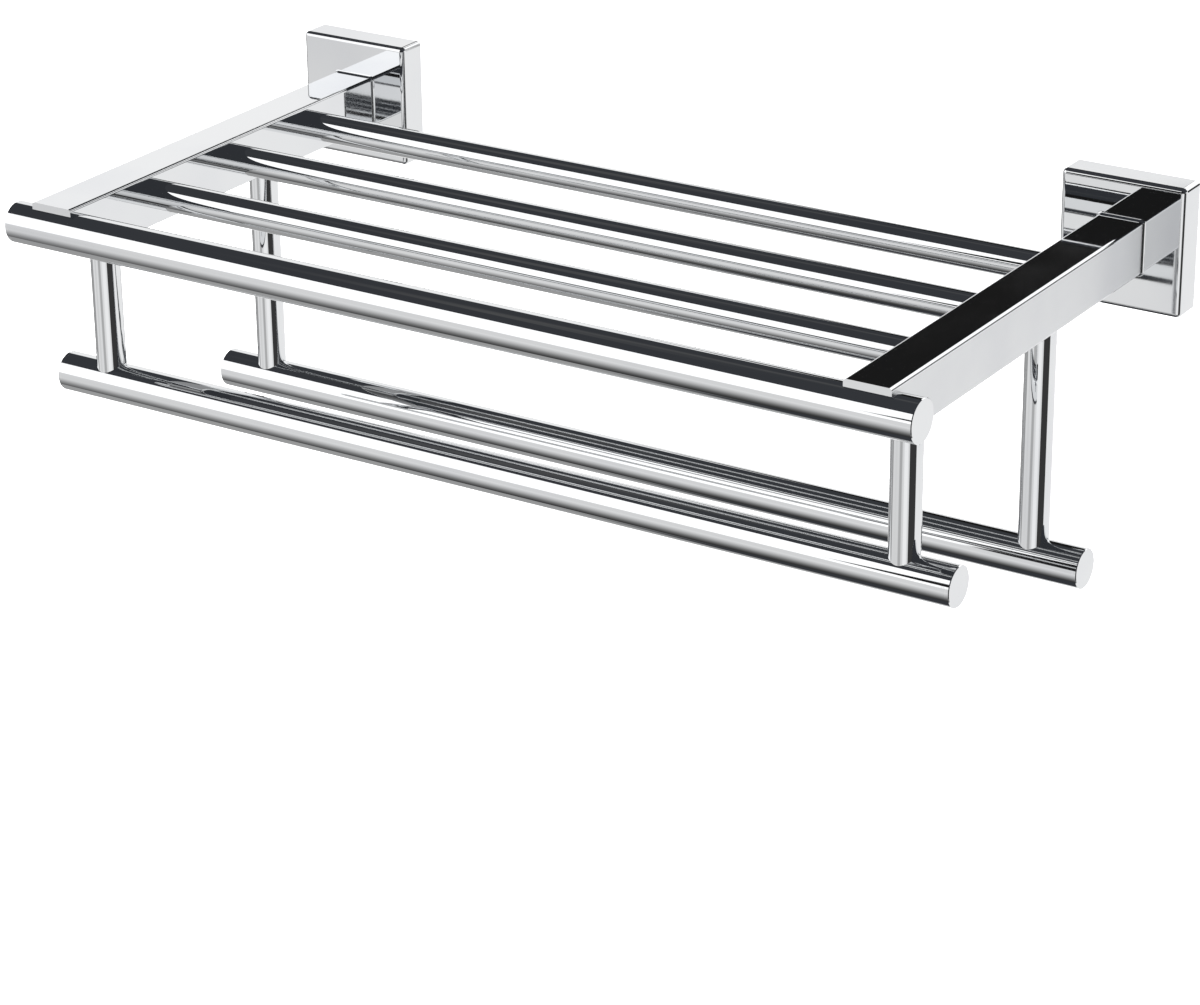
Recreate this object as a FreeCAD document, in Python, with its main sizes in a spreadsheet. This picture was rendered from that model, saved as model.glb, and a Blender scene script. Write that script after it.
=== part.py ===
import FreeCAD, Part
import math
import os
import re

import Sketcher

# Wall-mounted towel rack: a shelf of three rods between two box-section arms, a round rail along the
# front, and two towel bars that hang on four posts under the arms.
#
# Frame: X runs along the rail, +Y points into the wall, +Z is up. The wall is the plane y = 0, and
# the origin lies on it, midway between the two arms, at the height of the arms' centre lines.
# Words for places: "reach" is a distance out from the wall, "drop" a distance below the arms'
# centre lines.

DIMENSIONS = [
    ("arm_spacing", 360.0, "between the centre lines of the two arms"),
    ("rail_overhang", 10.5, "front rail past the outer faces of the arms, at each end"),
    ("bar_overhang", 12.5, "towel bars past the outer faces of the arms, at each end"),
    ("rail_reach", 210.0, "wall to the axis of the front rail"),
    ("rail_diameter", 16.6, "front rail tube"),
    ("rail_wall", 1.0, "front rail tube"),
    ("bar_diameter", 16.0, "towel bar tube"),
    ("bar_wall", 1.0, "towel bar tube"),
    ("front_bar_drop", 72.0, "arm centre to the axis of the front towel bar"),
    ("rear_bar_drop", 105.5, "arm centre to the axis of the rear towel bar"),
    ("cap_thickness", 1.5, "disc that closes a tube"),
    ("cap_spigot", 5.0, "length of the part of a cap inside its tube"),
    ("cap_chamfer", 0.3, "broken edge round a cap"),
    ("rod_diameter", 12.0, "shelf rod tube"),
    ("rod_wall", 0.8, "shelf rod tube"),
    ("rod_start", 52.0, "wall to the axis of the rear shelf rod"),
    ("rod_pitch", 52.0, "between neighbouring shelf rods"),
    ("rod_entry", 3.0, "length of a rod that stands inside the hollow of an arm"),
    ("post_diameter", 12.0, "post tube"),
    ("post_wall", 0.8, "post tube"),
    ("post_entry", 2.0, "length of a post that stands inside the hollow of an arm"),
    ("front_post_setback", 27.0, "axis of the rail to the front posts and the front towel bar"),
    ("rear_post_reach", 79.0, "wall to the rear posts and the rear towel bar"),
    ("arm_width", 19.0, "box-section arm tube, across"),
    ("arm_height", 21.5, "box-section arm tube, upright"),
    ("arm_wall", 1.5, "box-section arm tube"),
    ("arm_corner", 1.2, "outside radius along the edges of the arm tube"),
    ("arm_lap", 3.0, "front end of an arm over the rail, past the rail's axis"),
    ("arm_trim", 5.0, "front end of an arm under the rail, short of the rail's axis"),
    ("arm_nose", 3.0, "solid metal between the hollow of an arm and the back of the rail"),
    ("plug_length", 18.0, "threaded plug in the rear end of an arm"),
    ("key_side", 12.0, "square key on the plug, which stops the arm from turning"),
    ("key_clearance", 0.1, "between the key and its hole, each side and at its end"),
    ("flange_side", 52.0, "square wall flange"),
    ("flange_depth", 13.0, "wall to the front face of the flange"),
    ("flange_wall", 2.5, "side walls of the flange"),
    ("flange_face", 2.5, "front wall of the flange"),
    ("flange_corner", 2.0, "radius of the four corners of the flange"),
    ("flange_edge", 2.0, "radius round the front face of the flange"),
    ("arm_seat", 1.2, "raised seat on the flange, as wide and as high as the arm"),
    ("arm_seat_root", 1.0, "radius between the seat and the flange"),
    ("bracket_side_gap", 3.5, "between the wall bracket and each side wall of its flange"),
    ("bracket_lift_gap", 3.0, "between the lower lip and the flange, to lift the flange on"),
    ("bracket_lip_gap", 1.5, "between the lips and the front wall of the flange"),
    ("bracket_thickness", 2.0, "wall bracket sheet"),
    ("bracket_bend", 1.5, "outside radius of the bracket's two bends"),
    ("wall_hole_diameter", 5.0, "hole for a wall screw"),
    ("wall_hole_inset", 7.5, "underside of a bracket to the axis of its lower wall screw"),
    ("arm_screw_diameter", 6.0, "thread of the screw that holds an arm"),
    ("arm_screw_length", 14.0, "arm screw under its head"),
    ("arm_screw_head", 10.5, "button head across"),
    ("arm_screw_head_height", 3.3, "button head"),
    ("arm_screw_dome", 2.4, "radius round the top of the button head"),
    ("arm_screw_socket", 4.0, "hexagon socket across its flats"),
    ("arm_screw_socket_depth", 2.0, "hexagon socket"),
    ("washer_diameter", 18.0, "washer under the arm screw's head"),
    ("washer_thickness", 1.6, "washer"),
    ("washer_clearance", 0.2, "between the washer's hole and the arm screw, each side"),
    ("set_screw_diameter", 4.0, "thread of the set screw"),
    ("set_screw_recess", 0.5, "set screw inside the underside of the flange"),
    ("set_screw_setback", 3.0, "front edge of the lower lip to the axis of the set screw"),
    ("set_screw_socket", 2.0, "hexagon socket across its flats"),
    ("set_screw_socket_depth", 2.0, "hexagon socket"),
    ("screw_chamfer", 0.5, "broken edge at the end of a thread"),
]

# Sizes that follow from the ones above.
DERIVED = [
    ("rail_length", "arm_spacing + arm_width + 2 * rail_overhang", "front rail with its caps"),
    ("bar_length", "arm_spacing + arm_width + 2 * bar_overhang", "towel bar with its caps"),
    ("front_post_reach", "rail_reach - front_post_setback", "wall to the front posts"),
    ("arm_root", "flange_depth + arm_seat", "wall to the rear end of an arm"),
    ("bracket_width", "flange_side - 2 * flange_wall - 2 * bracket_side_gap", "wall bracket along X"),
    ("bracket_rise", "flange_side / 2 - flange_wall", "arm centre to the top of the upper lip"),
    ("bracket_drop", "bracket_rise - bracket_lift_gap", "arm centre to the underside of the lower lip"),
    ("bracket_lip", "flange_depth - flange_face - bracket_lip_gap", "wall to the front of the lips"),
    ("wall_hole_drop", "bracket_drop - wall_hole_inset", "arm centre to the axis of a wall screw"),
    ("set_screw_reach", "bracket_lip - set_screw_setback", "wall to the axis of the set screw"),
]

SIDES = {"left": -1, "right": 1}
FASTENERS = ("set_screws", "arm_screws", "arm_washers")
SHELF_RODS = ("rear", "middle", "front")
SHEET = "Dimensions"
HEXAGON_SIDES = 6
PARALLEL = 1e-6
NEAR = 1e-4


# ---------------------------------------------------------------- document and sheet


def write_sheet(doc):
    """Spreadsheet with one dimension in each row: note, then value or formula, with its alias."""
    sheet = doc.addObject("Spreadsheet::Sheet", SHEET)
    driving = [(alias, str(value), note) for alias, value, note in DIMENSIONS]
    derived = [(alias, f"={text}", note) for alias, text, note in DERIVED]
    for row, (alias, content, note) in enumerate(driving + derived, start=1):
        sheet.set(f"A{row}", note)
        sheet.set(f"B{row}", content)
        sheet.setAlias(f"B{row}", alias)
    doc.recompute()
    return sheet


def formula(text):
    """The text with every dimension's alias turned into a reference to the sheet."""
    return re.sub(r"[a-z_]+(?!\w*\()", lambda word: f"{SHEET}.{word.group(0)}", text)


def signed(side, text):
    """A formula on one side of the middle plane."""
    return text if side > 0 else f"-1 * ({text})"


def new_body(doc, label, x="0", y="0", z="0"):
    """Empty body whose placement follows three formulas."""
    body = doc.addObject("PartDesign::Body", label)
    body.Label = label
    for axis, text in (("x", x), ("y", y), ("z", z)):
        body.setExpression(f"Placement.Base.{axis}", formula(text))
    return body


def new_fasteners(doc, label, y="0", z="0"):
    """Body on the middle plane that holds one fastener of a kind for each side."""
    body = new_body(doc, label, y=y, z=z)
    body.AllowCompound = True
    return body


# ---------------------------------------------------------------- sketches


def new_sketch(body, plane, name, offset="0"):
    """Sketch on an origin plane of its body, moved along the plane's normal by a formula."""
    sketch = body.newObject("Sketcher::SketchObject", name)
    support = next(item for item in body.Origin.OriginFeatures if item.Role == plane)
    sketch.AttachmentSupport = [(support, "")]
    sketch.MapMode = "FlatFace"
    sketch.setExpression("AttachmentOffset.Base.z", formula(offset))
    return sketch


def constrain(sketch, name, text, kind, *where):
    """Constraint with a name, whose value follows a formula."""
    index = sketch.addConstraint(Sketcher.Constraint(kind, *where, 1.0))
    sketch.renameConstraint(index, name)
    sketch.setExpression(f".Constraints.{name}", formula(text))


def add_circle(sketch, name, radius, across="0", up="0"):
    """Circle with its centre at two formulas, measured from the sketch's origin."""
    centre = FreeCAD.Vector(1, 1, 0)
    circle = sketch.addGeometry(Part.Circle(centre, FreeCAD.Vector(0, 0, 1), 1.0))
    constrain(sketch, f"{name}_radius", radius, "Radius", circle)
    constrain(sketch, f"{name}_across", across, "DistanceX", -1, 1, circle, 3)
    constrain(sketch, f"{name}_up", up, "DistanceY", -1, 1, circle, 3)
    return circle


def add_loop(sketch, points):
    """Closed loop of straight lines through rough points."""
    lines = []
    for start, end in zip(points, points[1:] + points[:1]):
        line = Part.LineSegment(FreeCAD.Vector(*start, 0), FreeCAD.Vector(*end, 0))
        lines.append(sketch.addGeometry(line))
    for line, following in zip(lines, lines[1:] + lines[:1]):
        sketch.addConstraint(Sketcher.Constraint("Coincident", line, 2, following, 1))
    return lines


def add_rectangle(sketch, name, low, high):
    """Rectangle between two corners, each a pair of formulas."""
    lines = add_loop(sketch, [(-1, -1), (1, -1), (1, 1), (-1, 1)])
    for line, kind in zip(lines, ("Horizontal", "Vertical", "Horizontal", "Vertical")):
        sketch.addConstraint(Sketcher.Constraint(kind, line))
    constrain(sketch, f"{name}_left", low[0], "DistanceX", -1, 1, lines[0], 1)
    constrain(sketch, f"{name}_bottom", low[1], "DistanceY", -1, 1, lines[0], 1)
    constrain(sketch, f"{name}_right", high[0], "DistanceX", -1, 1, lines[2], 1)
    constrain(sketch, f"{name}_top", high[1], "DistanceY", -1, 1, lines[2], 1)


def add_box(sketch, name, width, height):
    """Rectangle about the sketch's origin."""
    across = f"({width}) / 2"
    up = f"({height}) / 2"
    add_rectangle(sketch, name, (f"-1 * {across}", f"-1 * {up}"), (across, up))


def add_square(sketch, name, side):
    """Square about the sketch's origin."""
    add_box(sketch, name, side, side)


def add_hexagon(sketch, name, across_flats, across="0"):
    """Regular hexagon with two flats level, its centre on the sketch's horizontal axis."""
    rim = add_circle(sketch, name, f"{across_flats} / sqrt(3)", across)
    sketch.setConstruction(rim, True)
    sketch.Document.recompute()
    circle = sketch.Geometry[rim]
    corners = [circle.value(math.tau * turn / HEXAGON_SIDES) for turn in range(HEXAGON_SIDES)]
    lines = add_loop(sketch, [(corner.x, corner.y) for corner in corners])
    for line in lines:
        sketch.addConstraint(Sketcher.Constraint("PointOnObject", line, 1, rim))
    for line in lines[1:]:
        sketch.addConstraint(Sketcher.Constraint("Equal", lines[0], line))
    sketch.addConstraint(Sketcher.Constraint("Horizontal", lines[1]))


# ---------------------------------------------------------------- features


def extrude(kind, sketch, length="", side="One side", reverse=False):
    """Pad or Pocket of a sketch. A Pocket without a length goes right through."""
    body = sketch.getParentGeoFeatureGroup()
    feature = body.newObject(f"PartDesign::{kind}", kind)
    feature.Profile = sketch
    feature.SideType = side
    feature.Reversed = reverse
    if length:
        feature.setExpression("Length", formula(length))
    else:
        feature.Type = "ThroughAll"
    return feature


def pad(sketch, length, **options):
    """Adds material along the sketch's normal."""
    return extrude("Pad", sketch, length, **options)


def pocket(sketch, length="", **options):
    """Cuts against the sketch's normal, and says so if it cuts nothing."""
    body = sketch.getParentGeoFeatureGroup()
    body.Document.recompute()
    before = body.Shape.Volume
    feature = extrude("Pocket", sketch, length, **options)
    body.Document.recompute()
    if body.Shape.Volume > before - NEAR:
        raise RuntimeError(f"{body.Label}: {sketch.Name} cuts nothing")
    return feature


def soften(kind, size_name, feature, size, wanted):
    """Fillet or Chamfer on the edges of a feature that pass a test."""
    body = feature.getParentGeoFeatureGroup()
    body.Document.recompute()
    edges = enumerate(feature.Shape.Edges, start=1)
    names = [f"Edge{number}" for number, edge in edges if wanted(edge)]
    if not names:
        raise RuntimeError(f"{body.Label}: no edge to work on")
    result = body.newObject(f"PartDesign::{kind}", kind)
    result.Base = (feature, names)
    result.setExpression(size_name, formula(size))
    return result


def fillet(feature, radius, wanted):
    """Rounds the edges of a feature that pass a test."""
    return soften("Fillet", "Radius", feature, radius, wanted)


def chamfer(feature, size, wanted):
    """Breaks the edges of a feature that pass a test."""
    return soften("Chamfer", "Size", feature, size, wanted)


def along(axis):
    """Test for straight edges that run along x, y or z."""

    def wanted(edge):
        if len(edge.Vertexes) < 2 or not isinstance(edge.Curve, Part.Line):
            return False
        return abs(abs(getattr(edge.Curve.Direction, axis)) - 1) < PARALLEL

    return wanted


def at_limit(feature, axis, sign):
    """Test for edges in the plane at one end of a feature along x, y or z."""
    feature.Document.recompute()
    end = "Max" if sign > 0 else "Min"
    box = feature.Shape.BoundBox
    limit = getattr(box, f"{axis.upper()}{end}")

    def wanted(edge):
        span = edge.BoundBox
        low = getattr(span, f"{axis.upper()}Min")
        high = getattr(span, f"{axis.upper()}Max")
        return abs(low - limit) < NEAR and abs(high - limit) < NEAR

    return wanted


def inside(sketch):
    """Test for edges that lie within a sketch's outline, seen along y."""
    sketch.Document.recompute()
    box = sketch.Shape.BoundBox
    box.enlarge(NEAR)

    def wanted(edge):
        span = edge.BoundBox
        across = box.XMin < span.XMin and span.XMax < box.XMax
        return across and box.ZMin < span.ZMin and span.ZMax < box.ZMax

    return wanted


# ---------------------------------------------------------------- wall fixings


def build_flange(doc, name, side):
    """Hollow square cover over the wall bracket, open towards the wall."""
    body = new_body(doc, f"flange_{name}", x=signed(side, "arm_spacing / 2"))

    outline = new_sketch(body, "XZ_Plane", "outline")
    add_square(outline, "flange", "flange_side")
    block = pad(outline, "flange_depth")
    rounded = fillet(block, "flange_corner", along("y"))
    eased = fillet(rounded, "flange_edge", at_limit(rounded, "y", -1))
    body.Tip = eased

    seat = new_sketch(body, "XZ_Plane", "seat", offset="flange_depth")
    add_box(seat, "seat", "arm_width", "arm_height")
    raised = pad(seat, "arm_seat")
    on_seat = inside(seat)
    cornered = fillet(raised, "arm_corner", lambda edge: on_seat(edge) and along("y")(edge))
    on_face = at_limit(eased, "y", -1)
    body.Tip = fillet(cornered, "arm_seat_root", lambda edge: on_seat(edge) and on_face(edge))

    cavity = new_sketch(body, "XZ_Plane", "cavity")
    add_square(cavity, "cavity", "flange_side - 2 * flange_wall")
    pocket(cavity, "flange_depth - flange_face", reverse=True)

    key_hole = new_sketch(body, "XZ_Plane", "key_hole")
    add_square(key_hole, "key_hole", "key_side + 2 * key_clearance")
    pocket(key_hole, reverse=True)

    set_screw_hole = new_sketch(body, "XY_Plane", "set_screw_hole")
    add_circle(set_screw_hole, "thread", "set_screw_diameter / 2", up="-1 * set_screw_reach")
    pocket(set_screw_hole)
    return body


def build_wall_bracket(doc, name, side):
    """Sheet steel plate on the wall. The flange hangs on the lip at its top."""
    body = new_body(doc, f"wall_bracket_{name}", x=signed(side, "arm_spacing / 2"))
    bottom = "-1 * bracket_drop"

    profile = new_sketch(body, "YZ_Plane", "profile")
    add_rectangle(profile, "profile", ("-1 * bracket_lip", bottom), ("0", "bracket_rise"))
    block = pad(profile, "bracket_width", side="Symmetric")
    on_wall = at_limit(block, "y", 1)
    bent = fillet(block, "bracket_bend", lambda edge: on_wall(edge) and along("x")(edge))
    body.Tip = bent

    channel = new_sketch(body, "YZ_Plane", "channel")
    channel_low = ("-2 * bracket_lip", f"{bottom} + bracket_thickness")
    channel_high = ("-1 * bracket_thickness", "bracket_rise - bracket_thickness")
    add_rectangle(channel, "channel", channel_low, channel_high)
    pocket(channel, "2 * bracket_width", side="Symmetric")

    holes = new_sketch(body, "XZ_Plane", "wall_holes")
    for hole, height in (("lower", "-1 * wall_hole_drop"), ("upper", "wall_hole_drop")):
        add_circle(holes, hole, "wall_hole_diameter / 2", up=height)
    pocket(holes, "2 * bracket_thickness", side="Symmetric")
    return body


def build_set_screws(doc):
    """Headless screws in the undersides of the flanges, against the brackets' lower lips."""
    height = "set_screw_recess - flange_side / 2"
    body = new_fasteners(doc, "set_screws", y="-1 * set_screw_reach", z=height)

    shank = new_sketch(body, "XY_Plane", "shank")
    for name, side in SIDES.items():
        add_circle(shank, name, "set_screw_diameter / 2", across=signed(side, "arm_spacing / 2"))
    rod = pad(shank, "flange_side / 2 - set_screw_recess - bracket_drop")
    body.Tip = chamfer(rod, "screw_chamfer", at_limit(rod, "z", 1))

    socket = new_sketch(body, "XY_Plane", "socket")
    for name, side in SIDES.items():
        add_hexagon(socket, name, "set_screw_socket", across=signed(side, "arm_spacing / 2"))
    pocket(socket, "set_screw_socket_depth", reverse=True)
    return body


def build_arm_plug(doc, name, side):
    """Threaded block welded into the rear end of an arm, keyed into the flange."""
    body = new_body(doc, f"arm_plug_{name}", x=signed(side, "arm_spacing / 2"))

    block = new_sketch(body, "XZ_Plane", "block", offset="arm_root")
    add_box(block, "block", "arm_width - 2 * arm_wall", "arm_height - 2 * arm_wall")
    pad(block, "plug_length")

    key = new_sketch(body, "XZ_Plane", "key", offset="arm_root")
    add_square(key, "key", "key_side")
    pad(key, "arm_seat + flange_face - key_clearance", reverse=True)

    thread = new_sketch(body, "XZ_Plane", "thread")
    add_circle(thread, "thread", "arm_screw_diameter / 2")
    pocket(thread, reverse=True)
    return body


def build_arm_screws(doc):
    """Button-head socket screws that pull the arms against their flanges."""
    body = new_fasteners(doc, "arm_screws", y="flange_face + washer_thickness - flange_depth")

    shank = new_sketch(body, "XZ_Plane", "shank")
    for name, side in SIDES.items():
        add_circle(shank, name, "arm_screw_diameter / 2", across=signed(side, "arm_spacing / 2"))
    rod = pad(shank, "arm_screw_length")
    body.Tip = chamfer(rod, "screw_chamfer", at_limit(rod, "y", -1))

    head = new_sketch(body, "XZ_Plane", "head")
    for name, side in SIDES.items():
        add_circle(head, name, "arm_screw_head / 2", across=signed(side, "arm_spacing / 2"))
    button = pad(head, "arm_screw_head_height", reverse=True)
    body.Tip = fillet(button, "arm_screw_dome", at_limit(button, "y", 1))

    socket = new_sketch(body, "XZ_Plane", "socket", offset="-1 * arm_screw_head_height")
    for name, side in SIDES.items():
        add_hexagon(socket, name, "arm_screw_socket", across=signed(side, "arm_spacing / 2"))
    pocket(socket, "arm_screw_socket_depth", reverse=True)
    return body


def build_arm_washers(doc):
    """Plain washers that span the key holes inside the flanges."""
    body = new_fasteners(doc, "arm_washers", y="flange_face - flange_depth")

    ring = new_sketch(body, "XZ_Plane", "ring")
    for name, side in SIDES.items():
        centre = signed(side, "arm_spacing / 2")
        add_circle(ring, f"{name}_rim", "washer_diameter / 2", across=centre)
        add_circle(ring, f"{name}_hole", "arm_screw_diameter / 2 + washer_clearance", across=centre)
    pad(ring, "washer_thickness", reverse=True)
    return body


# ---------------------------------------------------------------- arms, tubes and caps


def build_arm(doc, name, side):
    """Box-section tube from the flange to the rail, closed at its front, with holes for the rods and posts."""
    body = new_body(doc, f"arm_{name}", x=signed(side, "arm_spacing / 2"))

    section = new_sketch(body, "XZ_Plane", "section", offset="arm_root")
    add_box(section, "section", "arm_width", "arm_height")
    bar = pad(section, "rail_reach + arm_lap - arm_root")
    body.Tip = fillet(bar, "arm_corner", along("y"))

    bore = new_sketch(body, "XZ_Plane", "bore", offset="arm_root")
    add_box(bore, "bore", "arm_width - 2 * arm_wall", "arm_height - 2 * arm_wall")
    pocket(bore, "rail_reach - rail_diameter / 2 - arm_nose - arm_root", reverse=True)

    saddle = new_sketch(body, "YZ_Plane", "saddle")
    add_circle(saddle, "rail", "rail_diameter / 2", across="-1 * rail_reach")
    pocket(saddle, "2 * arm_width", side="Symmetric")

    trim = new_sketch(body, "YZ_Plane", "trim")
    trim_low = ("-1 * (rail_reach + rail_diameter)", "-1 * arm_height")
    add_rectangle(trim, "trim", trim_low, ("arm_trim - rail_reach", "0"))
    pocket(trim, "2 * arm_width", side="Symmetric")

    rod_hole = new_sketch(body, "YZ_Plane", "rod_hole")
    add_circle(rod_hole, "rod", "rod_diameter / 2", across="-1 * rod_start")
    first_hole = pocket(rod_hole, "arm_width", reverse=side < 0)
    rod_holes = body.newObject("PartDesign::LinearPattern", "rod_holes")
    rod_holes.Originals = [first_hole]
    rod_holes.Direction = (rod_hole, ["H_Axis"])
    rod_holes.Reversed = True
    rod_holes.setExpression("Length", formula(f"{len(SHELF_RODS) - 1} * rod_pitch"))
    rod_holes.Occurrences = len(SHELF_RODS)
    body.Tip = rod_holes

    post_holes = new_sketch(body, "XY_Plane", "post_holes")
    for post in ("front", "rear"):
        add_circle(post_holes, post, "post_diameter / 2", up=f"-1 * {post}_post_reach")
    pocket(post_holes, "arm_height")
    return body


def build_tube(body, diameter, wall, length):
    """Round tube along X, centred on its body's origin."""
    ring = new_sketch(body, "YZ_Plane", "ring")
    add_circle(ring, "outside", f"{diameter} / 2")
    add_circle(ring, "inside", f"{diameter} / 2 - {wall}")
    pad(ring, length, side="Symmetric")
    return body


def build_end_cap(doc, label, side, kind, y, z):
    """Flat disc that closes a tube, with a spigot pressed into it."""
    seat = f"{kind}_length / 2 - cap_thickness"
    body = new_body(doc, label, x=signed(side, seat), y=y, z=z)

    plug = new_sketch(body, "YZ_Plane", "plug")
    add_circle(plug, "plug", f"{kind}_diameter / 2 - {kind}_wall")
    pad(plug, "cap_spigot", reverse=side > 0)

    face = new_sketch(body, "YZ_Plane", "face")
    add_circle(face, "face", f"{kind}_diameter / 2")
    disc = pad(face, "cap_thickness", reverse=side < 0)
    body.Tip = chamfer(disc, "cap_chamfer", at_limit(disc, "x", side))
    return body


def build_capped_bar(doc, label, kind, y, z):
    """Tube along X with a cap at each end. The kind names its diameter, its wall and its length."""
    body = new_body(doc, label, y=y, z=z)
    length = f"{kind}_length - 2 * cap_thickness"
    pieces = [build_tube(body, f"{kind}_diameter", f"{kind}_wall", length)]
    for name, side in SIDES.items():
        pieces.append(build_end_cap(doc, f"{label}_cap_{name}", side, kind, y, z))
    return pieces


def build_shelf_rod(doc, name, number):
    """Thin tube between the arms, let into their inner walls."""
    reach = f"rod_start + {number} * rod_pitch"
    body = new_body(doc, f"shelf_rod_{name}", y=f"-1 * ({reach})")
    length = "arm_spacing - arm_width + 2 * (arm_wall + rod_entry)"
    return build_tube(body, "rod_diameter", "rod_wall", length)


def build_post(doc, place, name, side):
    """Upright tube from the hollow of an arm down to a towel bar, shaped to sit on the bar."""
    body = new_body(
        doc,
        f"post_{place}_{name}",
        x=signed(side, "arm_spacing / 2"),
        y=f"-1 * {place}_post_reach",
    )
    top_drop = "(arm_height / 2 - arm_wall - post_entry)"

    ring = new_sketch(body, "XY_Plane", "ring", offset=f"-1 * {top_drop}")
    add_circle(ring, "outside", "post_diameter / 2")
    add_circle(ring, "inside", "post_diameter / 2 - post_wall")
    pad(ring, f"{place}_bar_drop - {top_drop}", reverse=True)

    saddle = new_sketch(body, "YZ_Plane", "saddle")
    add_circle(saddle, "bar", "bar_diameter / 2", up=f"-1 * {place}_bar_drop")
    pocket(saddle, "2 * post_diameter", side="Symmetric")
    return body


# ---------------------------------------------------------------- rack


def build_rack(doc):
    """Every sub-part of the rack, in the order it is put together."""
    pieces = []
    for name, side in SIDES.items():
        for build in (
            build_wall_bracket,
            build_flange,
            build_arm,
            build_arm_plug,
        ):
            pieces.append(build(doc, name, side))
        for place in ("front", "rear"):
            pieces.append(build_post(doc, place, name, side))
    for build in (build_set_screws, build_arm_screws, build_arm_washers):
        pieces.append(build(doc))
    for number, name in enumerate(SHELF_RODS):
        pieces.append(build_shelf_rod(doc, name, number))
    pieces += build_capped_bar(doc, "front_rail", "rail", "-1 * rail_reach", "0")
    for place in ("front", "rear"):
        y = f"-1 * {place}_post_reach"
        z = f"-1 * {place}_bar_drop"
        pieces += build_capped_bar(doc, f"{place}_towel_bar", "bar", y, z)
    return pieces


def check(doc, pieces):
    """Stops if any object failed, or any sub-part is not sound or not as many solids as it should be."""
    for item in doc.Objects:
        if {"Invalid", "Error"} & set(item.State):
            raise RuntimeError(f"{item.Name} failed: {item.State}")
    for piece in pieces:
        shape = piece.Shape
        wanted = len(SIDES) if piece.Label in FASTENERS else 1
        if shape.isNull() or not shape.isValid() or len(shape.Solids) != wanted:
            raise RuntimeError(f"{piece.Label} is not sound")


def write_parts(pieces):
    """One STEP file for each sub-part, named after its label."""
    os.makedirs("parts", exist_ok=True)
    for piece in pieces:
        piece.Shape.exportStep(f"parts/{piece.Label}.step")
        print(f"{piece.Label:28s} {piece.Shape.Volume:10.1f} mm3")


def main():
    doc = FreeCAD.newDocument("towel_rack")
    write_sheet(doc)
    pieces = build_rack(doc)
    doc.recompute()
    check(doc, pieces)
    write_parts(pieces)


main()
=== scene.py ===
"""Looks of a wall-mounted towel rack in polished chrome, in a plain pale studio."""

import logging
import math
from dataclasses import dataclass
from enum import Enum
from typing import Iterable, Sequence

import bpy
from mathutils import Matrix, Vector


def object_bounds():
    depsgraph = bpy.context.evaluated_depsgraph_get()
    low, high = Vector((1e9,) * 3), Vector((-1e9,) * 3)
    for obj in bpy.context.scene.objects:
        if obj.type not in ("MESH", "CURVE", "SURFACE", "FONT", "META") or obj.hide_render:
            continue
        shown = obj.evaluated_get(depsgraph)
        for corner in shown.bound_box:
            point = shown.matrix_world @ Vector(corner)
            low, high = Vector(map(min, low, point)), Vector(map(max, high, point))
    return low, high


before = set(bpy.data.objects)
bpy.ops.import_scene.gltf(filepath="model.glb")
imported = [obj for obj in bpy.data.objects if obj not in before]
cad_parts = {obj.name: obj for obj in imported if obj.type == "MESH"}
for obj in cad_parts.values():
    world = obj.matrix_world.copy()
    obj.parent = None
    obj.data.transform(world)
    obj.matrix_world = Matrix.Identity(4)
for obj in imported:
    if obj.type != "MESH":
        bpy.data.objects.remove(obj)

CAD_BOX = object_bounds()
SIDES = ("left", "right")

log = logging.getLogger("towel_rack")

Colour = tuple[float, float, float]
Socket = bpy.types.NodeSocket
Value = float | Socket


class Lay(Enum):
    """Direction that the polishing lines of a surface run in."""

    ALONG_RAIL = (1.0, 60.0, 60.0)
    ALONG_ARM = (60.0, 1.0, 60.0)
    UPRIGHT = (60.0, 60.0, 1.0)
    EVEN = (30.0, 30.0, 30.0)


# ---------------------------------------------------------------- node trees


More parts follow.
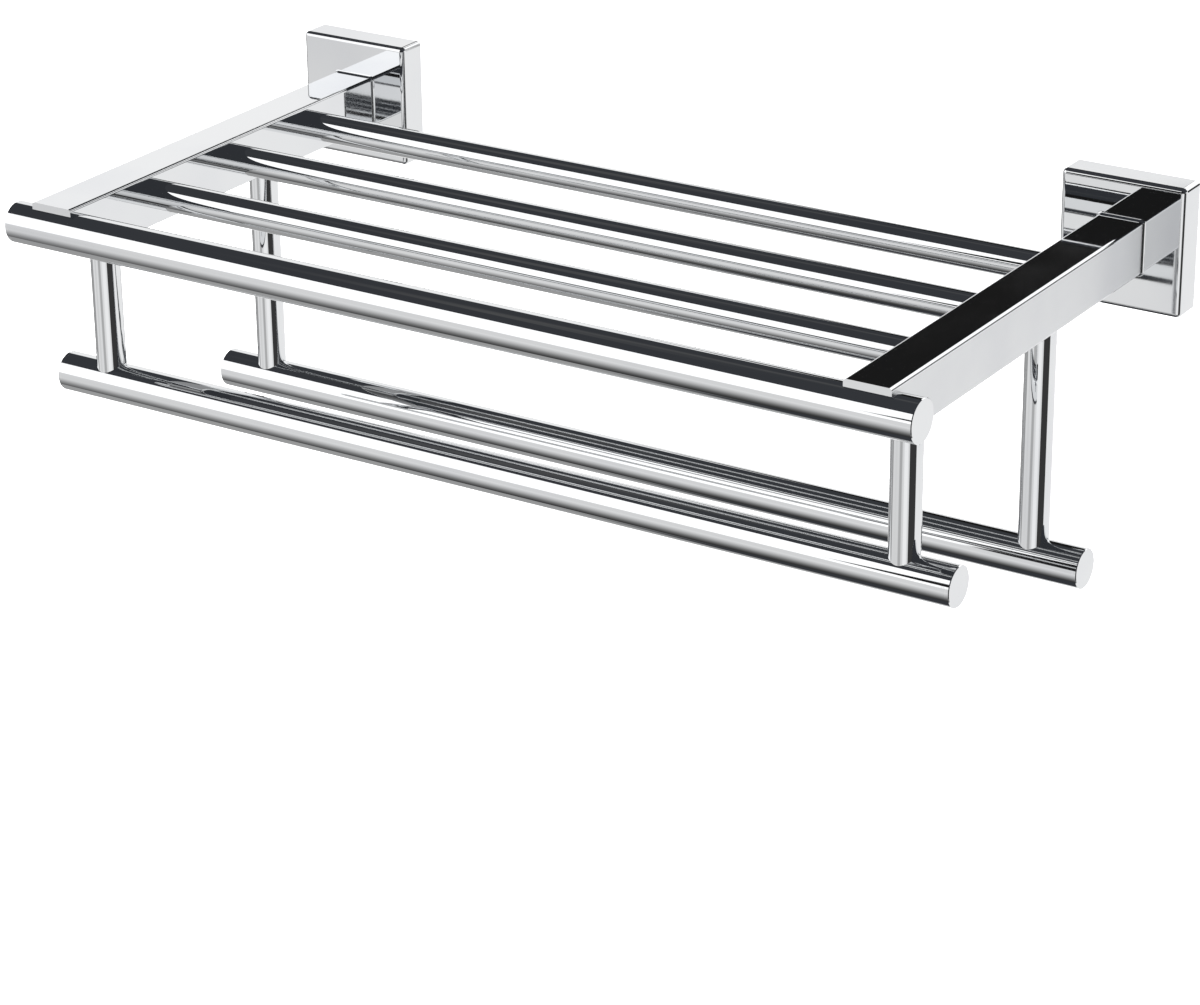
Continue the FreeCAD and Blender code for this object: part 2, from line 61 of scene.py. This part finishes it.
class NodeDesk:
    """Adds nodes to one node tree and wires them up."""

    def __init__(self, tree: bpy.types.NodeTree) -> None:
        """Keeps the tree that the nodes go into."""
        self.tree = tree

    def add(self, kind: str, **settings: object) -> bpy.types.Node:
        """Adds a node.

        Args:
            kind: Blender's name of the node's type, without "ShaderNode".
            settings: The node's own properties.

        Returns:
            The new node.
        """
        prefix = "" if kind.startswith("Node") else "ShaderNode"
        node = self.tree.nodes.new(prefix + kind)
        for name, setting in settings.items():
            setattr(node, name, setting)
        return node

    def feed(self, socket: Socket, value: object) -> None:
        """Links a socket to another one, or sets its own value."""
        if isinstance(value, bpy.types.NodeSocket):
            self.tree.links.new(value, socket)
        else:
            socket.default_value = value

    def maths(self, operation: str, *values: Value) -> Socket:
        """Adds a Math node.

        Args:
            operation: What it does, such as MULTIPLY.
            values: Its inputs, in order.

        Returns:
            The node's result.
        """
        node = self.add("Math", operation=operation)
        for socket, value in zip(node.inputs, values):
            self.feed(socket, value)
        return node.outputs[0]

    def ramp(self, value: Value, low: Value, high: Value) -> Socket:
        """Adds a smooth step from 0 to 1.

        Args:
            value: What is looked at.
            low: Where the step starts.
            high: Where the step ends.

        Returns:
            The step's height.
        """
        node = self.add("MapRange", interpolation_type="SMOOTHSTEP")
        for name, given in (("Value", value), ("From Min", low), ("From Max", high)):
            self.feed(node.inputs[name], given)
        return node.outputs["Result"]

    def blend(self, share: Value, first: object, second: object) -> Socket:
        """Adds a colour mix.

        Args:
            share: How much of the second colour there is.
            first: The colour at a share of 0.
            second: The colour at a share of 1.

        Returns:
            The mixed colour.
        """
        node = self.add("Mix", data_type="RGBA")
        self.feed(node.inputs["Factor"], share)
        colours = [item for item in node.inputs if item.type == "RGBA"]
        self.feed(colours[0], first)
        self.feed(colours[1], second)
        return next(item for item in node.outputs if item.type == "RGBA")

    def noise(self, place: Socket, scale: Value, detail: float = 2.0) -> Socket:
        """Adds a noise texture.

        Args:
            place: Where the noise is read.
            scale: How many lumps there are in a metre.
            detail: How many finer layers there are.

        Returns:
            The noise, about 0.5 on average.
        """
        node = self.add("TexNoise")
        self.feed(node.inputs["Vector"], place)
        self.feed(node.inputs["Scale"], scale)
        node.inputs["Detail"].default_value = detail
        return node.outputs["Fac"]


class ShaderGroup:
    """A shader node group with named sockets, built the first time that it is used."""

    title: str = ""
    takes: dict[str, tuple[str, object]] = {}
    gives: dict[str, str] = {}

    def draw(self, desk: NodeDesk, given: dict[str, Socket]) -> dict[str, Socket]:
        """Draws what is inside the group.

        Args:
            desk: Desk of the group's own tree.
            given: The group's inputs, by name.

        Returns:
            What feeds each of the group's outputs, by name.
        """
        raise NotImplementedError

    def tree(self) -> bpy.types.NodeTree:
        """Returns the group's node tree, drawn once."""
        if self.title in bpy.data.node_groups:
            return bpy.data.node_groups[self.title]
        tree = bpy.data.node_groups.new(self.title, "ShaderNodeTree")
        for name, (kind, default) in self.takes.items():
            socket = tree.interface.new_socket(name, in_out="INPUT", socket_type=kind)
            if default is not None:
                socket.default_value = default
        for name, kind in self.gives.items():
            tree.interface.new_socket(name, in_out="OUTPUT", socket_type=kind)
        desk = NodeDesk(tree)
        entry = desk.add("NodeGroupInput")
        leave = desk.add("NodeGroupOutput")
        given = {name: entry.outputs[name] for name in self.takes}
        for name, value in self.draw(desk, given).items():
            desk.feed(leave.inputs[name], value)
        return tree

    def place(self, desk: NodeDesk, **values: object) -> bpy.types.Node:
        """Puts the group into another tree.

        Args:
            desk: Desk of that tree.
            values: The group's inputs, by name, with _ for a space.

        Returns:
            The group node.
        """
        node = desk.add("Group", node_tree=self.tree())
        for name, value in values.items():
            desk.feed(node.inputs[name.replace("_", " ")], value)
        return node


NUMBER = "NodeSocketFloat"
VECTOR = "NodeSocketVector"


class PolishLines(ShaderGroup):
    """Hair-fine lines that a polishing wheel leaves, over the slow swell of the metal."""

    title = "polish_lines"
    line_depth = 0.12
    takes = {
        "Place": (VECTOR, None),
        "Stretch": (VECTOR, (1.0, 1.0, 1.0)),
        "Lines": (NUMBER, 120.0),
        "Swell": (NUMBER, 90.0),
    }
    gives = {"Height": NUMBER, "Mask": NUMBER}

    def draw(self, desk: NodeDesk, given: dict[str, Socket]) -> dict[str, Socket]:
        """Noise drawn out along the lay of the lines, and round noise for the swell."""
        drawn = desk.add("VectorMath", operation="MULTIPLY")
        desk.feed(drawn.inputs[0], given["Place"])
        desk.feed(drawn.inputs[1], given["Stretch"])
        lines = desk.noise(drawn.outputs["Vector"], given["Lines"], detail=4.0)
        swell = desk.noise(given["Place"], given["Swell"], detail=1.0)
        fine = desk.maths("MULTIPLY", lines, self.line_depth)
        return {"Height": desk.maths("ADD", fine, swell), "Mask": desk.ramp(lines, 0.45, 0.75)}


class HandlingMarks(ShaderGroup):
    """Faint haze, wiping smears and dried water spots on a surface that hands and steam reach."""

    title = "handling_marks"
    takes = {
        "Place": (VECTOR, None),
        "Haze": (NUMBER, 14.0),
        "Spots": (NUMBER, 160.0),
    }
    gives = {"Haze": NUMBER, "Spots": NUMBER}

    def draw(self, desk: NodeDesk, given: dict[str, Socket]) -> dict[str, Socket]:
        """Broad noise for the haze, and rings round scattered points for the spots."""
        haze = desk.ramp(desk.noise(given["Place"], given["Haze"], detail=5.0), 0.48, 0.72)
        cells = desk.add("TexVoronoi", feature="F1")
        desk.feed(cells.inputs["Vector"], given["Place"])
        desk.feed(cells.inputs["Scale"], given["Spots"])
        distance = cells.outputs["Distance"]
        inside = desk.maths("SUBTRACT", 1.0, desk.ramp(distance, 0.16, 0.20))
        ring = desk.maths("MULTIPLY", desk.ramp(distance, 0.08, 0.17), inside)
        split = desk.add("SeparateColor")
        desk.feed(split.inputs["Color"], cells.outputs["Color"])
        few = desk.ramp(split.outputs["Red"], 0.86, 0.90)
        return {"Haze": haze, "Spots": desk.maths("MULTIPLY", ring, few)}


class OuterFaces(ShaderGroup):
    """Flat upright faces that look away from the middle of the rack."""

    title = "outer_faces"
    takes = {"Place": (VECTOR, None), "Facing": (VECTOR, None)}
    gives = {"Mask": NUMBER}

    def draw(self, desk: NodeDesk, given: dict[str, Socket]) -> dict[str, Socket]:
        """Compares the side of the rack that a point is on with the way its face looks."""
        spot = desk.add("SeparateXYZ")
        desk.feed(spot.inputs["Vector"], given["Place"])
        way = desk.add("SeparateXYZ")
        desk.feed(way.inputs["Vector"], given["Facing"])
        side = desk.maths("SIGN", spot.outputs["X"])
        outwards = desk.maths("MULTIPLY", side, way.outputs["X"])
        return {"Mask": desk.ramp(outwards, 0.985, 0.999)}


class EdgeRub(ShaderGroup):
    """Where an outside edge is rubbed: the difference between the true and a rounded normal."""

    title = "edge_rub"
    takes = {"Width": (NUMBER, 0.0006), "Place": (VECTOR, None)}
    gives = {"Mask": NUMBER}

    def draw(self, desk: NodeDesk, given: dict[str, Socket]) -> dict[str, Socket]:
        """Compares two normals and breaks the result up with noise."""
        rounded = desk.add("Bevel", samples=4)
        desk.feed(rounded.inputs["Radius"], given["Width"])
        true = desk.add("NewGeometry")
        facing = desk.add("VectorMath", operation="DOT_PRODUCT")
        desk.feed(facing.inputs[0], rounded.outputs["Normal"])
        desk.feed(facing.inputs[1], true.outputs["Normal"])
        bend = desk.maths("SUBTRACT", 1.0, facing.outputs["Value"])
        patchy = desk.ramp(desk.noise(given["Place"], 300.0, detail=3.0), 0.35, 0.65)
        return {"Mask": desk.maths("MULTIPLY", desk.ramp(bend, 0.01, 0.16), patchy)}


# ---------------------------------------------------------------- finishes


@dataclass(frozen=True)
class MetalFinish:
    """A bare or plated metal surface.

    Attributes:
        title: Name of the material.
        colour: Colour that the metal reflects.
        dull_colour: Colour where the surface is hazy.
        edge_colour: Colour of a rubbed edge.
        gloss_roughness: Roughness of the clean metal.
        haze_roughness: Roughness added by haze.
        line_roughness: Roughness added by the polishing lines.
        relief: Height of the lines and the swell, in metres.
        lay: Direction of the lines.
        outer_roughness: Roughness added on flat faces that look outwards.
    """

    title: str
    colour: Colour
    dull_colour: Colour
    edge_colour: Colour
    gloss_roughness: float
    haze_roughness: float
    line_roughness: float
    relief: float
    lay: Lay
    outer_roughness: float = 0.0

    def material(self) -> bpy.types.Material:
        """Returns the finish's material, drawn once."""
        if self.title in bpy.data.materials:
            return bpy.data.materials[self.title]
        material = bpy.data.materials.new(self.title)
        material.use_nodes = True
        material.node_tree.nodes.clear()
        desk = NodeDesk(material.node_tree)
        surface = desk.add("TexCoord")
        place = surface.outputs["Object"]

        lines = PolishLines().place(desk, Place=place, Stretch=self.lay.value)
        marks = HandlingMarks().place(desk, Place=place)
        rub = EdgeRub().place(desk, Place=place)

        shader = desk.add("BsdfPrincipled")
        shader.inputs["Metallic"].default_value = 1.0
        haze = marks.outputs["Haze"]
        spots = marks.outputs["Spots"]
        hazed = desk.blend(haze, (*self.colour, 1.0), (*self.dull_colour, 1.0))
        rubbed = desk.blend(rub.outputs["Mask"], hazed, (*self.edge_colour, 1.0))
        desk.feed(shader.inputs["Base Color"], rubbed)

        rough = desk.maths("MULTIPLY_ADD", haze, self.haze_roughness, self.gloss_roughness)
        rough = desk.maths("MULTIPLY_ADD", lines.outputs["Mask"], self.line_roughness, rough)
        rough = desk.maths("MULTIPLY_ADD", spots, self.haze_roughness, rough)
        if self.outer_roughness > 0.0:
            outer = OuterFaces().place(desk, Place=place, Facing=surface.outputs["Normal"])
            rough = desk.maths("MULTIPLY_ADD", outer.outputs["Mask"], self.outer_roughness, rough)
        desk.feed(shader.inputs["Roughness"], rough)

        bump = desk.add("Bump")
        bump.inputs["Distance"].default_value = self.relief
        bump.inputs["Strength"].default_value = 1.0
        desk.feed(bump.inputs["Height"], lines.outputs["Height"])
        desk.feed(shader.inputs["Normal"], bump.outputs["Normal"])

        output = desk.add("OutputMaterial")
        desk.feed(output.inputs["Surface"], shader.outputs["BSDF"])
        return material

    def dress(self, piece: bpy.types.Object) -> None:
        """Puts the finish on every material slot of a piece."""
        for place in piece.material_slots:
            place.material = self.material()


def chrome(title: str, lay: Lay, outer_roughness: float = 0.0) -> MetalFinish:
    """Mirror-polished chrome plating.

    Args:
        title: Name of the material.
        lay: Direction of the polishing lines.
        outer_roughness: Roughness added on flat faces that look outwards.

    Returns:
        The finish.
    """
    return MetalFinish(
        title=title,
        colour=(0.80, 0.81, 0.82),
        dull_colour=(0.76, 0.77, 0.79),
        edge_colour=(0.88, 0.88, 0.88),
        gloss_roughness=0.02,
        haze_roughness=0.03,
        line_roughness=0.01,
        relief=0.000002,
        lay=lay,
        outer_roughness=outer_roughness,
    )


def plain_steel(title: str, colour: Colour, roughness: float, lay: Lay) -> MetalFinish:
    """Bare or zinc-plated steel that nobody polished.

    Args:
        title: Name of the material.
        colour: Colour that the metal reflects.
        roughness: Roughness of the clean metal.
        lay: Direction of its rolling or turning lines.

    Returns:
        The finish.
    """
    return MetalFinish(
        title=title,
        colour=colour,
        dull_colour=tuple(0.8 * part for part in colour),
        edge_colour=tuple(min(1.0, 1.2 * part) for part in colour),
        gloss_roughness=roughness,
        haze_roughness=0.16,
        line_roughness=0.10,
        relief=0.00002,
        lay=lay,
    )


ZINC_PLATE = plain_steel("zinc_plate", (0.60, 0.62, 0.64), 0.28, Lay.UPRIGHT)
SCREW_STEEL = plain_steel("screw_steel", (0.42, 0.42, 0.43), 0.24, Lay.EVEN)


# ---------------------------------------------------------------- the rack


def dress_nodes(names: Iterable[str], finish: MetalFinish) -> None:
    """Puts a finish on CAD nodes and reports each one.

    Args:
        names: Names of the nodes.
        finish: The finish they get.
    """
    for name in names:
        finish.dress(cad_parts[name])
        log.info("%s dressed in %s", name, finish.title)


@dataclass
class WallFixings:
    """Brackets, flanges and set screws on the wall side of the rack."""

    flange_finish: MetalFinish = chrome("flange_chrome", Lay.EVEN)
    bracket_finish: MetalFinish = ZINC_PLATE
    screw_finish: MetalFinish = SCREW_STEEL

    def dress(self) -> None:
        """Gives each fixing its finish."""
        dress_nodes((f"flange_{side}" for side in SIDES), self.flange_finish)
        dress_nodes((f"wall_bracket_{side}" for side in SIDES), self.bracket_finish)
        dress_nodes(("set_screws",), self.screw_finish)


@dataclass
class Arms:
    """The two arms, with the plugs, screws and washers inside their rear ends."""

    arm_finish: MetalFinish = chrome("arm_chrome", Lay.ALONG_ARM, outer_roughness=0.36)
    plug_finish: MetalFinish = plain_steel("plug_steel", (0.45, 0.45, 0.46), 0.30, Lay.EVEN)
    screw_finish: MetalFinish = SCREW_STEEL
    washer_finish: MetalFinish = ZINC_PLATE

    def dress(self) -> None:
        """Gives each piece its finish."""
        dress_nodes((f"arm_{side}" for side in SIDES), self.arm_finish)
        dress_nodes((f"arm_plug_{side}" for side in SIDES), self.plug_finish)
        dress_nodes(("arm_screws",), self.screw_finish)
        dress_nodes(("arm_washers",), self.washer_finish)


@dataclass
class Tubes:
    """Front rail, shelf rods, towel bars, posts and end caps."""

    level_finish: MetalFinish = chrome("tube_chrome", Lay.ALONG_RAIL)
    upright_finish: MetalFinish = chrome("post_chrome", Lay.UPRIGHT)
    cap_finish: MetalFinish = chrome("cap_chrome", Lay.EVEN)

    def dress(self) -> None:
        """Gives each piece its finish."""
        bars = ("front_rail", "front_towel_bar", "rear_towel_bar")
        rods = tuple(f"shelf_rod_{place}" for place in ("rear", "middle", "front"))
        dress_nodes(bars + rods, self.level_finish)
        posts = (f"post_{place}_{side}" for place in ("front", "rear") for side in SIDES)
        dress_nodes(posts, self.upright_finish)
        dress_nodes((f"{bar}_cap_{side}" for bar in bars for side in SIDES), self.cap_finish)


# ---------------------------------------------------------------- studio


class StudioCardMask(ShaderGroup):
    """Soft-edged rectangle on the inside of the studio's sky, in degrees."""

    title = "studio_card_mask"
    takes = {
        "Azimuth": (NUMBER, 0.0),
        "Elevation": (NUMBER, 0.0),
        "Centre Azimuth": (NUMBER, 0.0),
        "Centre Elevation": (NUMBER, 0.0),
        "Half Width": (NUMBER, 30.0),
        "Half Height": (NUMBER, 30.0),
        "Softness": (NUMBER, 2.0),
    }
    gives = {"Mask": NUMBER}

    def draw(self, desk: NodeDesk, given: dict[str, Socket]) -> dict[str, Socket]:
        """How far a direction is inside the rectangle, across and up."""
        turn = desk.maths("SUBTRACT", given["Azimuth"], given["Centre Azimuth"])
        across = desk.maths("ABSOLUTE", desk.maths("WRAP", turn, 180.0, -180.0))
        rise = desk.maths("SUBTRACT", given["Elevation"], given["Centre Elevation"])
        up = desk.maths("ABSOLUTE", rise)
        masks = []
        for offset, half in ((across, given["Half Width"]), (up, given["Half Height"])):
            start = desk.maths("SUBTRACT", half, given["Softness"])
            masks.append(desk.maths("SUBTRACT", 1.0, desk.ramp(offset, start, half)))
        return {"Mask": desk.maths("MULTIPLY", *masks)}


@dataclass(frozen=True)
class StudioCard:
    """A panel that the chrome reflects, placed by its direction from the rack.

    Attributes:
        azimuth: Direction of its middle, in degrees from -Y towards +X.
        elevation: Height of its middle above the horizon, in degrees.
        half_width: Half of its width, in degrees.
        half_height: Half of its height, in degrees.
        softness: Width of its soft edge, in degrees.
        brightness: How bright its top is, where 1 is white.
        foot_brightness: How bright its bottom is.
    """

    azimuth: float
    elevation: float
    half_width: float
    half_height: float
    softness: float
    brightness: float
    foot_brightness: float | None = None

    @staticmethod
    def grey(level: float) -> tuple[float, float, float, float]:
        """Returns a neutral grey of a brightness, as a colour with alpha."""
        return (level, level, level, 1.0)

    def paint(self, desk: NodeDesk, azimuth: Socket, elevation: Socket, light: object) -> Socket:
        """Lays the card over what is drawn so far.

        Args:
            desk: Desk of the world's tree.
            azimuth: Direction looked in, in degrees.
            elevation: Height looked at, in degrees.
            light: Colour of what is behind the card.

        Returns:
            The colour with the card in front.
        """
        mask = StudioCardMask().place(
            desk,
            Azimuth=azimuth,
            Elevation=elevation,
            Centre_Azimuth=self.azimuth,
            Centre_Elevation=self.elevation,
            Half_Width=self.half_width,
            Half_Height=self.half_height,
            Softness=self.softness,
        )
        face: object = self.grey(self.brightness)
        if self.foot_brightness is not None:
            foot = self.elevation - self.half_height
            rise = desk.ramp(elevation, foot, self.elevation + self.half_height)
            face = desk.blend(rise, self.grey(self.foot_brightness), face)
        return desk.blend(mask.outputs["Mask"], light, face)


@dataclass
class Studio:
    """White cyclorama, dark ceiling, a wide front softbox and a few cards, over a pale floor."""

    drop: float = 0.40
    floor_radius: float = 9.0
    floor_colour: Colour = (0.90, 0.90, 0.90)
    cards: Sequence[StudioCard] = (
        # Behind the rack: the white sweep, and what the left arm's top mirrors.
        StudioCard(155.0, -35.5, 72.0, 54.6, 0.5, 0.97),
        StudioCard(-138.0, 24.0, 13.0, 8.0, 1.5, 1.02),
        StudioCard(-104.0, -21.0, 30.0, 41.0, 3.0, 0.38),
        # In front, below the horizon: the sweep, and steps of grey along the posts.
        StudioCard(4.0, -36.0, 79.0, 26.0, 3.0, 0.95, 0.03),
        StudioCard(4.0, -9.5, 79.0, 10.5, 3.0, 0.80),
        StudioCard(-46.0, -16.0, 12.0, 12.0, 9.0, 0.75),
        StudioCard(-11.0, -20.0, 14.0, 17.0, 9.0, 0.48),
        StudioCard(25.0, -20.0, 17.0, 22.0, 9.0, 1.02),
        StudioCard(72.0, -20.0, 25.0, 24.0, 1.5, 0.045),
        # In front, above the horizon: a dark flag, the softbox and its lower corner.
        StudioCard(0.0, 21.0, 27.0, 19.0, 1.0, 0.013),
        StudioCard(-51.2, 20.0, 24.8, 21.0, 0.5, 1.35),
        StudioCard(-28.0, 4.0, 4.0, 5.5, 0.5, 1.35),
        # High on the left: a faint glow on the tubes' tops.
        StudioCard(-105.0, 58.0, 30.0, 5.0, 9.0, 0.11),
        # Behind on the right: the arm's black top, and the light and dark lines of its edge.
        StudioCard(-162.0, 32.0, 14.0, 13.0, 0.4, 0.012),
        StudioCard(174.0, 26.0, 26.0, 13.0, 0.8, 1.30),
        StudioCard(150.0, 2.0, 9.0, 10.0, 1.0, 0.015),
    )
    ceiling: Colour = (0.041, 0.044, 0.050)
    lamp_width: float = 5.0
    lamp_height: float = 3.5
    lamp_power: float = 620.0

    def floor(self) -> None:
        """Lays a pale floor that can be seen through from below."""
        mesh = bpy.data.meshes.new("floor")
        reach = self.floor_radius
        height = CAD_BOX[0].z - self.drop
        corners = [(x * reach, y * reach, height) for x, y in ((-1, -1), (1, -1), (1, 1), (-1, 1))]
        mesh.from_pydata(corners, [], [(0, 1, 2, 3)])
        floor = bpy.data.objects.new("floor", mesh)
        bpy.context.scene.collection.objects.link(floor)
        material = bpy.data.materials.new("pale_floor")
        material.use_nodes = True
        material.node_tree.nodes.clear()
        desk = NodeDesk(material.node_tree)
        matt = desk.add("BsdfDiffuse")
        matt.inputs["Color"].default_value = (*self.floor_colour, 1.0)
        clear = desk.add("BsdfTransparent")
        either = desk.add("MixShader")
        desk.feed(either.inputs["Fac"], desk.add("NewGeometry").outputs["Backfacing"])
        desk.feed(either.inputs[1], matt.outputs["BSDF"])
        desk.feed(either.inputs[2], clear.outputs["BSDF"])
        desk.feed(desk.add("OutputMaterial").inputs["Surface"], either.outputs["Shader"])
        mesh.materials.append(material)
        floor.visible_glossy = False

    def sky(self) -> None:
        """Draws the studio that the chrome reflects, behind a white that the camera sees."""
        world = bpy.data.worlds.new("studio")
        bpy.context.scene.world = world
        world.use_nodes = True
        world.node_tree.nodes.clear()
        desk = NodeDesk(world.node_tree)
        split = desk.add("SeparateXYZ")
        desk.feed(split.inputs["Vector"], desk.add("TexCoord").outputs["Generated"])
        along, depth, height = split.outputs
        towards = desk.maths("MULTIPLY", depth, -1.0)
        azimuth = desk.maths("DEGREES", desk.maths("ARCTAN2", along, towards))
        elevation = desk.maths("DEGREES", desk.maths("ARCSINE", height))

        light: object = (*self.ceiling, 1.0)
        for card in self.cards:
            light = card.paint(desk, azimuth, elevation, light)
        studio = desk.add("Background")
        desk.feed(studio.inputs["Color"], light)
        white = desk.add("Background")
        white.inputs["Color"].default_value = (1.0, 1.0, 1.0, 1.0)
        seen = desk.add("MixShader")
        desk.feed(seen.inputs["Fac"], desk.add("LightPath").outputs["Is Camera Ray"])
        desk.feed(seen.inputs[1], studio.outputs["Background"])
        desk.feed(seen.inputs[2], white.outputs["Background"])
        desk.feed(desk.add("OutputWorld").inputs["Surface"], seen.outputs["Shader"])

    def lamp(self) -> None:
        """Hangs a wide soft lamp over the floor, which the chrome doesn't mirror."""
        data = bpy.data.lights.new("overhead", "AREA")
        data.shape = "DISK"
        data.size = self.lamp_width
        data.energy = self.lamp_power
        lamp = bpy.data.objects.new("overhead", data)
        lamp.location = (0.0, 0.0, self.lamp_height)
        lamp.visible_glossy = False
        bpy.context.scene.collection.objects.link(lamp)

    def build(self) -> None:
        """Sets the whole studio up."""
        self.floor()
        self.sky()
        self.lamp()
        bpy.context.scene.view_settings.view_transform = "Standard"
        log.info("studio set up")


@dataclass
class ProductCamera:
    """Long lens that looks down on the rack from its front right."""

    azimuth: float = 32.76
    elevation: float = 23.46
    roll: float = -0.62
    distance: float = 1.5211
    target: Vector = Vector((0.00496, -0.110, -0.11105))
    lens: float = 115.09
    sensor: float = 36.0

    def build(self) -> None:
        """Makes the camera and gives it to the scene."""
        turn = math.radians(self.azimuth)
        rise = math.radians(self.elevation)
        back = Vector((
            math.sin(turn) * math.cos(rise),
            -math.cos(turn) * math.cos(rise),
            math.sin(rise),
        ))
        data = bpy.data.cameras.new("product_camera")
        data.lens = self.lens
        data.sensor_width = self.sensor
        camera = bpy.data.objects.new("product_camera", data)
        place = Matrix.Translation(self.target + back * self.distance)
        facing = back.to_track_quat("Z", "Y").to_matrix().to_4x4()
        camera.matrix_world = place @ facing @ Matrix.Rotation(math.radians(self.roll), 4, "Z")
        bpy.context.scene.collection.objects.link(camera)
        bpy.context.scene.camera = camera
        log.info("camera placed")


def main() -> None:
    """Builds the looks of the rack, its studio and its camera."""
    logging.basicConfig(level=logging.INFO, format="%(message)s")
    ProductCamera().build()
    Studio().build()
    WallFixings().dress()
    Arms().dress()
    Tubes().dress()


if __name__ == "__main__":
    main()
